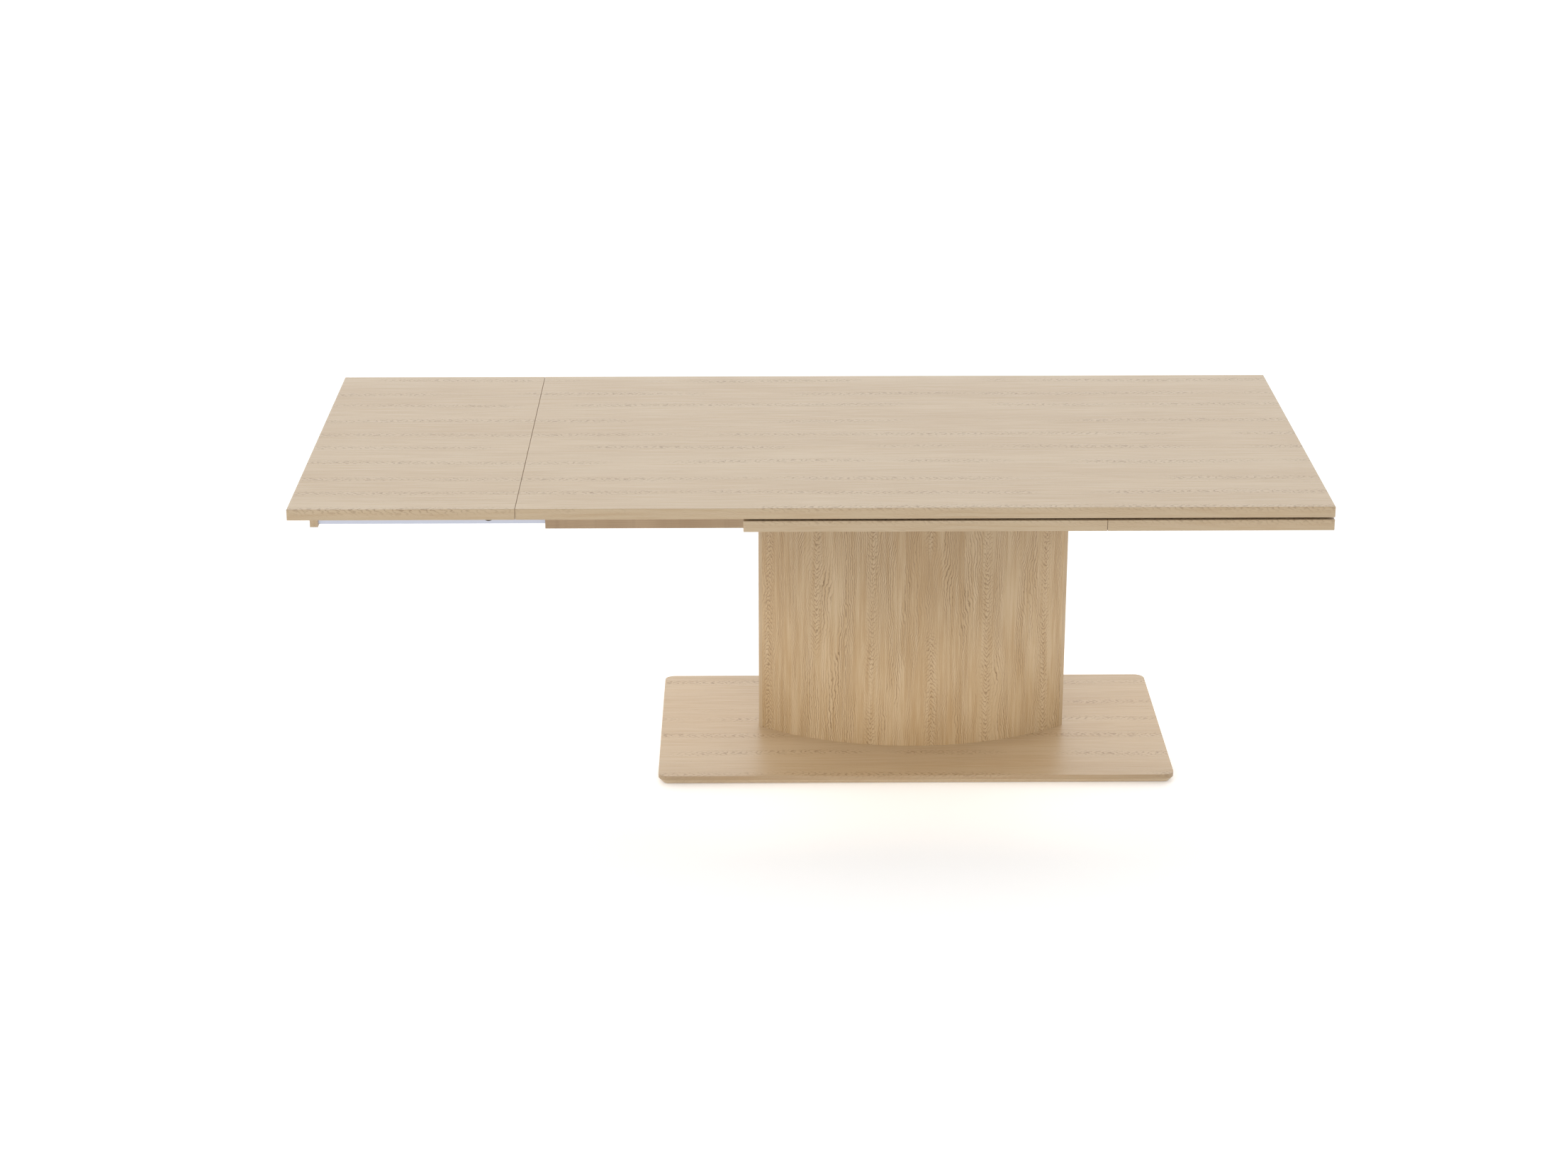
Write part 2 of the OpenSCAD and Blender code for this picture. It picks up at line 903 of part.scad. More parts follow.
// the inner arms' pins: pressed into the rails, with a thin head outside the arm
module inner_arm_pin(s) {
  y0 = rail_in + groove_depth + 1;
  scale([1, s, 1]) {
    bar_y(inner_pivot, pivot_z, pin_radius, y0, arm_out + 0.3);
    bar_y(inner_pivot, pivot_z, 5, arm_out + 0.3, arm_out + 1.8);
  }
}

// ---------------------------------------------------------------- arms and leaf, stored at +X
// a is the arm's angle from upright, outwards positive; x and z give the lower pivot

function head_x(x, a) = x + arm_reach * sin(a);
function head_z(a) = pivot_z + arm_reach * cos(a);

module arm_plate(x, a, y0, foot) {
  difference() {
    hull() {
      bar_y(x, pivot_z, foot, y0, y0 + arm_thickness);
      bar_y(head_x(x, a), head_z(a), arm_head, y0, y0 + arm_thickness);
    }
    bar_y(head_x(x, a), head_z(a), pin_radius + pin_clearance, y0 - 1, y0 + arm_thickness + 1);
  }
}

module inner_arm(s, a) {
  scale([1, s, 1])
    difference() {
      arm_plate(inner_pivot, a, arm_in, arm_foot);
      bar_y(inner_pivot, pivot_z, pin_radius + pin_clearance, arm_in - 1, arm_out + 1);
    }
}

module cross_shaft(a) {
  difference() {
    union() {
      bar_y(outer_pivot, pivot_z, shaft_radius, -lug_out - 3, lug_out + 3);
      for (s = [-1, 1])
        scale([1, s, 1])
          hull() {
            bar_y(outer_pivot, pivot_z, crank_half, crank_offset, crank_out);
            bar_y(head_x(outer_pivot, a), head_z(a), crank_half, crank_offset, crank_out);
          }
    }
    bar_y(head_x(outer_pivot, a), head_z(a), pin_radius + pin_clearance, -crank_out - 1, crank_out + 1);
  }
}

// leaf parts are drawn at their stored height, then moved by dx and dz
module leaf_panel() {
  panel = leaf_length - seam;
  difference() {
    translate([half_top - panel / 2, 0, layer_under + leaf_thickness / 2])
      board(panel, top_width, leaf_thickness);
    for (y = dowel_rows)
      bar_x(y, layer_under + leaf_thickness / 2, dowel_radius, half_panel, half_panel + seam + 22);
  }
}

module leaf_dowels() {
  z = layer_under + leaf_thickness / 2;
  face = half_panel + seam;
  for (y = dowel_rows) {
    bar_x(y, z, dowel_radius, face - dowel_out + 1, face + 22);
    translate([face - dowel_out, y, z])
      rotate([0, 90, 0])
        cylinder(r1 = dowel_radius - 1, r2 = dowel_radius, h = 1);
  }
}

// out is how far the flange runs on towards the leaf's outer edge
module leaf_bracket(x, y0, y1, out) {
  z = layer_under - head_drop;
  flange_low_z = layer_under - flange_sheet;
  difference() {
    union() {
      box(x - bracket_half, x + out, y1 - bracket_width, y1, flange_low_z, layer_under);
      box(x - arm_head, x + arm_head, y0, y1, z, layer_under);
      bar_y(x, z, arm_head, y0, y1);
    }
    bar_y(x, z, pin_radius, y0 - 1, y1 + 1);
  }
}

module leaf_brackets() {
  for (s = [-1, 1])
    scale([1, s, 1]) {
      leaf_bracket(head_x(inner_pivot, arm_low), leg_in, leg_out, bracket_half);
      leaf_bracket(head_x(outer_pivot, arm_low), crank_leg_in, crank_leg_out, arm_head + fold_space - 1.5);
    }
}

module leaf_pins() {
  z = layer_under - head_drop;
  for (s = [-1, 1])
    scale([1, s, 1]) {
      bar_y(head_x(inner_pivot, arm_low), z, pin_radius, arm_in, leg_out);
      bar_y(head_x(outer_pivot, arm_low), z, pin_radius, crank_leg_in, crank_out);
      bar_y(head_x(outer_pivot, arm_low), z, 5, crank_leg_in - 1.5, crank_leg_in);
    }
}

// the carriage at -X stands drawn out
module drawn_out() {
  mirror([1, 0, 0])
    translate([stroke, 0, 0])
      children();
}

// the leaf at -X stands drawn out and raised
module raised() {
  mirror([1, 0, 0])
    translate([leaf_length, 0, lift])
      children();
}

// ---------------------------------------------------------------- left carriage and leaf

module left_front_sliding_rail() {
  color("silver")
    drawn_out()
      sliding_rail(-1);
}

module left_rear_sliding_rail() {
  color("silver")
    drawn_out()
      sliding_rail(1);
}

module left_batten() {
  color("tan")
    drawn_out()
      batten();
}

module left_shaft_lugs() {
  color("dimgray")
    drawn_out()
      for (s = [-1, 1])
        scale([1, s, 1])
          lug();
}

module left_rail_shoes() {
  color("white")
    drawn_out()
      rail_shoes();
}

module left_carriage_screws() {
  color("silver")
    drawn_out()
      carriage_screws();
}

module left_inner_arm_pins() {
  color("silver")
    drawn_out()
      for (s = [-1, 1])
        inner_arm_pin(s);
}

module left_cross_shaft() {
  color("dimgray")
    drawn_out()
      cross_shaft(-arm_lean);
}

module left_front_inner_arm() {
  color("dimgray")
    drawn_out()
      inner_arm(-1, -arm_lean);
}

module left_rear_inner_arm() {
  color("dimgray")
    drawn_out()
      inner_arm(1, -arm_lean);
}

module left_leaf() {
  color("wheat")
    raised()
      leaf_panel();
}

module left_leaf_dowels() {
  color("burlywood")
    raised()
      leaf_dowels();
}

module left_leaf_brackets() {
  color("dimgray")
    raised()
      leaf_brackets();
}

module left_leaf_pins() {
  color("silver")
    raised()
      leaf_pins();
}

// ---------------------------------------------------------------- right carriage and leaf

module right_front_sliding_rail() {
  color("silver")
    sliding_rail(-1);
}

module right_rear_sliding_rail() {
  color("silver")
    sliding_rail(1);
}

module right_batten() {
  color("tan")
    batten();
}

module right_shaft_lugs() {
  color("dimgray")
    for (s = [-1, 1])
      scale([1, s, 1])
        lug();
}

module right_rail_shoes() {
  color("white")
    rail_shoes();
}

module right_carriage_screws() {
  color("silver")
    carriage_screws();
}

module right_cross_shaft() {
  color("dimgray")
    cross_shaft(arm_low);
}

module right_inner_arms() {
  color("dimgray")
    for (s = [-1, 1])
      inner_arm(s, arm_low);
}

module right_leaf() {
  color("wheat")
    leaf_panel();
}

module right_leaf_dowels() {
  color("burlywood")
    leaf_dowels();
}

module right_leaf_brackets() {
  color("dimgray")
    leaf_brackets();
}

module right_pivot_pins() {
  color("silver") {
    leaf_pins();
    for (s = [-1, 1])
      inner_arm_pin(s);
  }
}

base_plate();
base_glides();
pedestal_foot_plate();
pedestal_head_plate();
pedestal_left_rib();
pedestal_right_rib();
pedestal_front_panel();
pedestal_rear_panel();
pedestal_left_edge_strip();
pedestal_right_edge_strip();
tie_rods();
tie_rod_nuts();
left_bearer();
centre_bearer();
right_bearer();
front_side_rail();
rear_side_rail();
front_inner_runner();
rear_inner_runner();
left_end_rail();
right_end_rail();
frame_screws();
left_front_guide_channel();
left_rear_guide_channel();
right_front_guide_channel();
right_rear_guide_channel();
channel_screws();
slide_stop_pins();
centre_panel();
panel_screws();
shadow_gap_panel();
main_top();
top_screws();
left_front_sliding_rail();
left_rear_sliding_rail();
left_batten();
left_shaft_lugs();
left_rail_shoes();
left_carriage_screws();
left_inner_arm_pins();
left_cross_shaft();
left_front_inner_arm();
left_rear_inner_arm();
left_leaf();
left_leaf_dowels();
left_leaf_brackets();
left_leaf_pins();
right_front_sliding_rail();
right_rear_sliding_rail();
right_batten();
right_shaft_lugs();
right_rail_shoes();
right_carriage_screws();
right_cross_shaft();
right_inner_arms();
right_leaf();
right_leaf_dowels();
right_leaf_brackets();
right_pivot_pins();
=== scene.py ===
import math

import bpy
import numpy as np
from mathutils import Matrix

# ---- Camera
# A long lens at standing height, a little to the left of the table's middle, looking down on the top.
camera = bpy.data.objects.new("camera", bpy.data.cameras.new("camera"))
bpy.context.scene.collection.objects.link(camera)
camera.location = (-0.3628, -6.6796, 2.9238)
LOOKS_DOWN = 19.64
TURNS_RIGHT = 0.52
camera.rotation_euler = (math.radians(90 - LOOKS_DOWN), 0, math.radians(-TURNS_RIGHT))
camera.data.sensor_width = 36
camera.data.lens = 68.66
camera.data.shift_x = -0.0012
camera.data.shift_y = -0.041
bpy.context.scene.camera = camera

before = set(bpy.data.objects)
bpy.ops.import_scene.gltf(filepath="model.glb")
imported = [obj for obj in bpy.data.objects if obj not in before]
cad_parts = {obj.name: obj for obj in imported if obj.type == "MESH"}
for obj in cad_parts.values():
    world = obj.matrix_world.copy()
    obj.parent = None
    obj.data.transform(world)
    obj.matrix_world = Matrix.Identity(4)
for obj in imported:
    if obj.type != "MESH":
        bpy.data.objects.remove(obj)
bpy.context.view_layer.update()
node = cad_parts

# ---- Floor and light
# A plain pale studio floor under an even white sky, with one wide soft light high in front and to the left.
scene = bpy.context.scene
scene.view_settings.view_transform = "Standard"

FLOOR_SPAN = 60.0
floor_mesh = bpy.data.meshes.new("floor")
FLOOR_CORNERS = ((-1, -1), (1, -1), (1, 1), (-1, 1))
floor_mesh.from_pydata([(sx * FLOOR_SPAN, sy * FLOOR_SPAN, 0) for sx, sy in FLOOR_CORNERS], [], [(0, 1, 2, 3)])
floor = bpy.data.objects.new("floor", floor_mesh)
scene.collection.objects.link(floor)
floor_paint = bpy.data.materials.new("pale studio floor")
floor_paint.use_nodes = True
floor_shader = floor_paint.node_tree.nodes["Principled BSDF"]
floor_shader.inputs["Base Color"].default_value = (0.93, 0.93, 0.93, 1)
floor_shader.inputs["Roughness"].default_value = 0.9
floor_shader.inputs["Specular IOR Level"].default_value = 0.1
floor_shader.inputs["Emission Color"].default_value = (1, 1, 1, 1)
floor_shader.inputs["Emission Strength"].default_value = 0.22
floor_mesh.materials.append(floor_paint)


class Flow:
    """A number that runs through a node tree. Arithmetic on it lays Math nodes."""

    def __init__(self, tree, socket):
        self.tree = tree
        self.socket = socket

    def do(self, operation, *others):
        step = self.tree.nodes.new("ShaderNodeMath")
        step.operation = operation
        for place, value in enumerate((self, *others)):
            feed(self.tree, step.inputs[place], value)
        return Flow(self.tree, step.outputs[0])

    def __add__(self, other):
        return self.do("ADD", other)

    def __sub__(self, other):
        return self.do("SUBTRACT", other)

    def __mul__(self, other):
        return self.do("MULTIPLY", other)

    def __truediv__(self, other):
        return self.do("DIVIDE", other)

    def __abs__(self):
        return self.do("ABSOLUTE")

    def ramp(self, low, high, start=0.0, end=1.0):
        """Rises smoothly from start to end as the number goes from low to high."""
        step = self.tree.nodes.new("ShaderNodeMapRange")
        step.interpolation_type = "SMOOTHSTEP"
        feed(self.tree, step.inputs["Value"], self)
        for name, value in (("From Min", low), ("From Max", high), ("To Min", start), ("To Max", end)):
            feed(self.tree, step.inputs[name], value)
        return Flow(self.tree, step.outputs["Result"])


def feed(tree, socket, value):
    """Links a Flow into a socket, or sets the socket to a plain value."""
    if isinstance(value, Flow):
        tree.links.new(value.socket, socket)
    else:
        socket.default_value = value


def vector(tree, x, y, z):
    """Three numbers as one vector."""
    step = tree.nodes.new("ShaderNodeCombineXYZ")
    for place, value in enumerate((x, y, z)):
        feed(tree, step.inputs[place], value)
    return Flow(tree, step.outputs[0])


def parts(tree, flow):
    """A vector's three numbers."""
    step = tree.nodes.new("ShaderNodeSeparateXYZ")
    tree.links.new(flow.socket, step.inputs[0])
    return [Flow(tree, out) for out in step.outputs]


def texture_place(tree, kind="Object"):
    """Where a point lies on the piece: its three coordinates of that kind."""
    spot = tree.nodes.new("ShaderNodeTexCoord")
    return parts(tree, Flow(tree, spot.outputs[kind]))


def cloud(tree, x, y, z, detail=2.0, rough=0.5):
    """Smooth noise from 0 to 1 at the point (x, y, z), one lump to a unit."""
    step = tree.nodes.new("ShaderNodeTexNoise")
    feed(tree, step.inputs["Vector"], vector(tree, x, y, z))
    step.inputs["Scale"].default_value = 1.0
    step.inputs["Detail"].default_value = detail
    step.inputs["Roughness"].default_value = rough
    return Flow(tree, step.outputs["Fac"])


def blend(tree, amount, first, second):
    """Two colours mixed by amount."""
    step = tree.nodes.new("ShaderNodeMix")
    step.data_type = "RGBA"
    feed(tree, step.inputs[0], amount)
    feed(tree, step.inputs[6], first)
    feed(tree, step.inputs[7], second)
    return Flow(tree, step.outputs[2])


def start_group(name, takes, gives):
    """An empty shader node group: its tree and a Flow for each thing that it takes."""
    tree = bpy.data.node_groups.new(name, "ShaderNodeTree")
    kinds = {"number": "NodeSocketFloat", "vector": "NodeSocketVector", "colour": "NodeSocketColor"}
    for label, kind in takes:
        tree.interface.new_socket(label, in_out="INPUT", socket_type=kinds[kind])
    for label, kind in gives:
        tree.interface.new_socket(label, in_out="OUTPUT", socket_type=kinds[kind])
    door = tree.nodes.new("NodeGroupInput")
    return tree, [Flow(tree, door.outputs[label]) for label, _ in takes]


def end_group(tree, **gives):
    """Closes a group: each Flow goes to the output of that name, with _ for a space."""
    door = tree.nodes.new("NodeGroupOutput")
    for label, flow in gives.items():
        feed(tree, door.inputs[label.replace("_", " ")], flow)


def place_group(tree, name, **takes):
    """A group placed in a tree with its own values; gives back its outputs by name."""
    step = tree.nodes.new("ShaderNodeGroup")
    step.node_tree = bpy.data.node_groups[name]
    for label, value in takes.items():
        feed(tree, step.inputs[label.replace("_", " ")], value)
    return {out.name: Flow(tree, out) for out in step.outputs}


# White walls stand round the studio: the sky is brightest low down and behind the table, and dimmest high up in
# front of it.
sky = bpy.data.worlds.new("white studio")
sky.use_nodes = True
tree = sky.node_tree
x, y, z = texture_place(tree, "Generated")
LEFTWARD = 0.45
behind = (y - x * LEFTWARD).ramp(-0.6, 0.6)
low = z.ramp(0.6, 0.15)
high_glow = behind.ramp(0.0, 1.0, 0.35, 1.35)
low_glow = behind.ramp(0.0, 1.0, 1.35, 2.08)
feed(tree, tree.nodes["Background"].inputs["Strength"], high_glow + (low_glow - high_glow) * low)
tree.nodes["Background"].inputs["Color"].default_value = (1, 1, 1, 1)
scene.world = sky


def soft_light(name, place, aim, width, height, power, spread=180, colour=(1, 1, 1)):
    """A rectangular lamp at place whose face is turned towards aim; spread is its beam in degrees."""
    lamp = bpy.data.lights.new(name, "AREA")
    lamp.shape = "RECTANGLE"
    lamp.size = width
    lamp.size_y = height
    lamp.energy = power
    lamp.color = colour
    lamp.spread = math.radians(spread)
    thing = bpy.data.objects.new(name, lamp)
    scene.collection.objects.link(thing)
    thing.visible_camera = False
    thing.location = place
    away = np.subtract(place, aim)
    thing.rotation_euler = (
        math.atan2(math.hypot(away[0], away[1]), away[2]),
        0,
        math.atan2(away[0], -away[1]),
    )


soft_light("soft box", (-3.5, -4.5, 4.5), (0, 0, 0.5), width=4.0, height=3.0, power=52)
# Three small lamps stand for the light that the floor and the oak throw back and forth under the top.
BASE_FILL_X = 0.66
for hand in (-1, 1):
    over_base = (hand * BASE_FILL_X, 0, 0.6)
    on_base = (hand * BASE_FILL_X, 0, 0)
    soft_light(f"base fill {hand}", over_base, on_base, width=0.5, height=0.8, power=1.0, spread=130)
WARM_WHITE = (1.0, 0.88, 0.7)
IN_FRONT_OF_PEDESTAL = (0, -0.7, 0.36)
FOOT_OF_PEDESTAL = (0, -0.22, 0.0)
soft_light(
    "oak bounce",
    IN_FRONT_OF_PEDESTAL,
    FOOT_OF_PEDESTAL,
    width=1.0,
    height=0.3,
    power=0.45,
    spread=80,
    colour=WARM_WHITE,
)


# ---- Main top and raised leaf
# Particle board 25 mm thick, veneered in light oak on both faces and lipped on its edges, with a fine worked
# arris, under satin lacquer. The grain runs along the table and carries on from the leaf into the top.

# Lays a board's six faces flat: along the grain, across it and round the long edges, so that the figure folds
# over an edge as a wrapped veneer does. On the end faces the lipping's grain runs across the table.
tree, (board_top,) = start_group(
    "board faces", [("Upper Face", "number")], [("Vector", "vector"), ("Arris", "number"), ("Edge", "number")]
)
x, y, z = texture_place(tree)
nx, ny, nz = (abs(n) for n in texture_place(tree, "Normal"))
FRONT_OR_BACK = 1000.0
side = (y * FRONT_OR_BACK).do("MINIMUM", 1.0).do("MAXIMUM", -1.0)
is_end = nx.do("GREATER_THAN", 0.8)
along = x + (y - x) * is_end
across = y + side * (board_top - z)
END_LIPPING_SHIFT = 0.35
across = across + ((z + END_LIPPING_SHIFT) - across) * is_end
END_LIPPING_LOG = 3.0
faces = vector(tree, along, across, is_end * END_LIPPING_LOG)
arris_mask = nx.do("MAXIMUM", ny).do("MAXIMUM", nz).ramp(0.95, 0.8)
end_group(tree, Vector=faces, Arris=arris_mask, Edge=nz.ramp(0.75, 0.4))


def lumps(tree, point, along, across, shift=0.0, detail=2.0, rough=0.5):
    """Noise from -0.5 to 0.5 with so many lumps to a metre along and across the grain. Shift draws it anew."""
    u, v, w = point
    return cloud(tree, u * along, v * across, w + shift, detail, rough) - 0.5


# The figure of crown-cut veneer: leaves side by side. Down the middle of each runs a narrow heart, where the
# growth rings cross as chevrons. On both sides the rings run along the leaf as fine lines that lean and waver.
tree, (point, strip, ring, arch) = start_group(
    "veneer figure",
    [("Vector", "vector"), ("Strip", "number"), ("Ring", "number"), ("Arch", "number")],
    [("Rings", "number"), ("Chevrons", "number"), ("Heart", "number"), ("Leaf Tone", "number")],
)
LEAF_SHIFT = 0.17
LEAF_UNEVENNESS = 0.2
HEART_HALF_WIDTH = 0.01195
CHEVRON_SLOPE = 1.4
here = parts(tree, point)
u, v, w = here
leaf = v / strip + LEAF_SHIFT
cell = leaf.do("FLOOR")
chance = tree.nodes.new("ShaderNodeTexWhiteNoise")
chance.noise_dimensions = "2D"
feed(tree, chance.inputs["Vector"], vector(tree, cell, w, 0.0))
luck = parts(tree, Flow(tree, chance.outputs["Color"]))
drift = (cloud(tree, u * 1.3, cell * 7.3, w, 1.0) - 0.5) * 0.04
off = (leaf.do("FRACT") - 0.5) * strip + (luck[0] - 0.5) * (strip * LEAF_UNEVENNESS) + drift
lean = lumps(tree, here, 5, 10, shift=9.0, detail=1.0) * 0.070
wave = lumps(tree, here, 50, 70) * 0.008
rings = (off + lean + wave) / ring
from_heart = off + lumps(tree, here, 22, 45) * 0.010
upward = (luck[1] - 0.5).do("SIGN")
flutter = lumps(tree, here, 60, 160, shift=3.0) * 2.2
chevrons = (u * upward + abs(from_heart) * CHEVRON_SLOPE) / arch + flutter
shown = cloud(tree, u * 2.6 + luck[2] * 30.0, cell * 5.7, w + 4.0, 2.0).ramp(0.38, 0.5)
beside = from_heart / HEART_HALF_WIDTH
heart = (beside * beside * -1.0).do("EXPONENT") * shown
end_group(tree, Rings=rings, Chevrons=chevrons, Heart=heart, Leaf_Tone=luck[1])

# Turns the ring counts at a point into oak's colours: a thin dark porous line each year, fine dark pores along
# the grain, slow bands of tone and faint grey streaks. The pores are also a little rougher and lower.
OAK_TAKES = [
    ("Vector", "vector"),
    ("Rings", "number"),
    ("Chevrons", "number"),
    ("Heart", "number"),
    ("Leaf Tone", "number"),
    ("Strength", "number"),
    ("Straight Grain", "number"),
    ("Pale", "colour"),
    ("Warm", "colour"),
    ("Dark", "colour"),
]
tree, (point, rings, chevrons, heart, tone, strength, plain, pale, warm, dark) = start_group(
    "oak tones", OAK_TAKES, [("Colour", "colour"), ("Roughness", "number"), ("Height", "number")]
)
here = parts(tree, point)


def porous_line(year):
    """The dark early wood of a year: it starts sharply and fades over half the ring."""
    return year.ramp(0.0, 0.5, 1.0, 0.0) * year.ramp(0.0, 0.12)


side_line = porous_line(rings.do("FRACT"))
heart_year = chevrons.do("FRACT")
heart_line = porous_line(heart_year)
late = heart_year.ramp(0.45, 0.95) * heart
lively = lumps(tree, here, 3, 28, shift=2.0).ramp(-0.15, 0.15, 0.15, 1.6)
line = heart_line * heart + side_line * plain * lively * (heart * -0.8 + 1.0)
broad = lumps(tree, here, 0.9, 9)
streak = lumps(tree, here, 6, 130, detail=3.0, rough=0.65)
fine = lumps(tree, here, 12, 700, rough=0.6)
pore = lumps(tree, here, 75, 1500, detail=1.0).ramp(0.1, 0.24) * (line * 0.7 + 0.3)
warmth = broad * 1.1 + (tone - 0.5) * 0.3 + streak * 1.9 + fine * 0.7 + 0.5
body = blend(tree, warmth.ramp(0.0, 1.0), pale, warm)
body = blend(tree, late * 0.5, body, pale)
body = blend(tree, line * strength, body, dark)
body = blend(tree, pore * strength * 0.5, body, dark)
SATIN = 0.4
end_group(
    tree,
    Colour=body,
    Roughness=pore * 0.18 + line * 0.05 + streak * 0.08 + SATIN,
    Height=pore * -0.7 - line * 0.3,
)


def new_material(name, **shine):
    """A Principled material with its constant sockets set by name, with _ for a space."""
    material = bpy.data.materials.new(name)
    material.use_nodes = True
    shader = material.node_tree.nodes["Principled BSDF"]
    for label, value in shine.items():
        shader.inputs[label.replace("_", " ")].default_value = value
    return material, material.node_tree, shader


def bump(tree, shader, height, distance):
    """A fine relief: height times distance in metres, as a bump on the shader's normal."""
    step = tree.nodes.new("ShaderNodeBump")
    step.inputs["Strength"].default_value = 1.0
    step.inputs["Distance"].default_value = distance
    feed(tree, step.inputs["Height"], height)
    tree.links.new(step.outputs["Normal"], shader.inputs["Normal"])


def dress(material, *names):
    """Gives CAD nodes their finish."""
    for name in names:
        node[name].data.materials.clear()
        node[name].data.materials.append(material)


OAK_PALE = (0.50, 0.385, 0.250, 1)
OAK_WARM = (0.44, 0.315, 0.185, 1)
OAK_DARK = (0.20, 0.125, 0.065, 1)
LIGHT_OAK = (OAK_PALE, OAK_WARM, OAK_DARK)


def oak_tones(tree, shader, lie, figure, strength, plain, colours, relief):
    """Finishes a shader in oak: its roughness, its relief in metres, and its colour, which is given back."""
    pale, warm, dark = colours
    oak = place_group(
        tree,
        "oak tones",
        Vector=lie,
        Rings=figure["Rings"],
        Chevrons=figure["Chevrons"],
        Heart=figure["Heart"],
        Leaf_Tone=figure["Leaf Tone"],
        Strength=strength,
        Straight_Grain=plain,
        Pale=pale,
        Warm=warm,
        Dark=dark,
    )
    feed(tree, shader.inputs["Base Color"], oak["Colour"])
    feed(tree, shader.inputs["Roughness"], oak["Roughness"])
    bump(tree, shader, oak["Height"], relief)
    return oak["Colour"]


VENEER_RELIEF = 0.00012


def veneered_board(name, upper_face, edge_shade=0.0):
    """Oak veneer folded round a board whose upper face lies at that height. Its arrises are painted paler: wear
    and painted highlight.

    The last argument is how much painted shade darkens its upright edges.
    """
    material, tree, shader = new_material(name)
    flat = place_group(tree, "board faces", Upper_Face=upper_face)
    figure = place_group(tree, "veneer figure", Vector=flat["Vector"], Strip=0.107, Ring=0.0032, Arch=0.018)
    colour = oak_tones(tree, shader, flat["Vector"], figure, 0.85, 0.2, LIGHT_OAK, VENEER_RELIEF)
    # The arrises are painted paler: partly worn lighter, partly a painted highlight where the worked arris
    # catches light.
    arris_wear_and_highlight = blend(tree, flat["Arris"] * 0.35, colour, OAK_PALE)
    # Upright faces are darkened by painted shade, as much as the last argument asks; only the base plate gets
    # any.
    feed(tree, shader.inputs["Base Color"], blend(tree, flat["Edge"] * edge_shade, arris_wear_and_highlight, OAK_DARK))
    return material


dress(veneered_board("light oak veneer of the top", 0.754), "main_top", "left_leaf")

# ---- Lower layer
# The centre panel and the stored leaf are the same veneered board one layer down, with a dark stained spacer
# panel above them that shows only as a shadow gap. Its near-black brown is partly stain and partly painted
# shade.
dress(veneered_board("light oak veneer of the lower layer", 0.724), "centre_panel", "right_leaf")

spacer_stain_and_gap_shade, tree, shader = new_material("dark stained spacer with painted gap shade", Roughness=0.8)
x, y, z = texture_place(tree)
fibre = cloud(tree, x * 40.0, y * 300.0, z * 300.0, 3.0)
# Near-black browns: partly the spacer's stain, partly painted shade for the deep shadow gap.
STAIN_AND_GAP_SHADE_DARK = (0.02, 0.01, 0.005, 1)
STAIN_AND_GAP_SHADE_LIGHT = (0.06, 0.03, 0.014, 1)
feed(tree, shader.inputs["Base Color"], blend(tree, fibre, STAIN_AND_GAP_SHADE_DARK, STAIN_AND_GAP_SHADE_LIGHT))
bump(tree, shader, fibre, 0.0002)
dress(spacer_stain_and_gap_shade, "shadow_gap_panel")

# ---- Pedestal
# Two bent plywood panels meet in a solid oak strip at each end. Their veneer is crown-cut oak with the grain
# upright, laid round the curve in strips, so it is flattened here by its angle round the panel's centre.
PANEL_RADIUS = 0.6145
HALF_PEDESTAL_DEPTH = 0.135
PANEL_CENTRE = PANEL_RADIUS - HALF_PEDESTAL_DEPTH
REAR_PANEL_LOG = 5.0
tree, () = start_group("pedestal faces", [], [("Vector", "vector")])
x, y, z = texture_place(tree)
girth = x.do("ARCTAN2", abs(y) + PANEL_CENTRE) * PANEL_RADIUS
end_group(tree, Vector=vector(tree, z, girth, y.do("SIGN") * REAR_PANEL_LOG))

pedestal_oak, tree, shader = new_material("upright oak veneer of the pedestal")
flat = place_group(tree, "pedestal faces")
figure = place_group(tree, "veneer figure", Vector=flat["Vector"], Strip=0.14, Ring=0.0048, Arch=0.0115)
PEDESTAL_OAK = ((0.54, 0.41, 0.255, 1), (0.44, 0.30, 0.155, 1), (0.23, 0.14, 0.065, 1))
oak_tones(tree, shader, flat["Vector"], figure, 1.0, 0.75, PEDESTAL_OAK, VENEER_RELIEF)
dress(pedestal_oak, "pedestal_front_panel", "pedestal_rear_panel")

# Solid timber: growth rings are drawn as cylinders round a pith that lies well outside the piece, so a face
# shows long grain and an end shows arcs.
PITH_DEPTH = 0.09
tree, (point, ring) = start_group(
    "timber figure",
    [("Vector", "vector"), ("Ring", "number")],
    [("Rings", "number"), ("Chevrons", "number"), ("Heart", "number"), ("Leaf Tone", "number")],
)
u, v, w = parts(tree, point)
sway = (cloud(tree, u * 2.0, v * 6.0, w * 6.0, 2.0) - 0.5) * 0.05
height = w + PITH_DEPTH + sway
flutter = (cloud(tree, u * 8.0, v * 60.0, w * 60.0, 2.0) - 0.5) * 1.5
rings = (v * v + height * height).do("SQRT") / ring + flutter
heart = cloud(tree, u * 3.0, v * 30.0, w * 30.0, 1.0).ramp(0.4, 0.7)
end_group(tree, Rings=rings, Chevrons=rings, Heart=heart, Leaf_Tone=0.5)


def timber(name, order, strength, colours):
    """Solid oak whose grain runs along the first axis named in order."""
    material, tree, shader = new_material(name)
    axes = dict(zip("xyz", texture_place(tree)))
    lie = vector(tree, *(axes[letter] for letter in order))
    figure = place_group(tree, "timber figure", Vector=lie, Ring=0.003)
    oak_tones(tree, shader, lie, figure, strength, 0.2, colours, 0.00015)
    return material


strip_oak = timber("solid oak end strips", "zyx", 0.5, LIGHT_OAK)
dress(strip_oak, "pedestal_left_edge_strip", "pedestal_right_edge_strip")

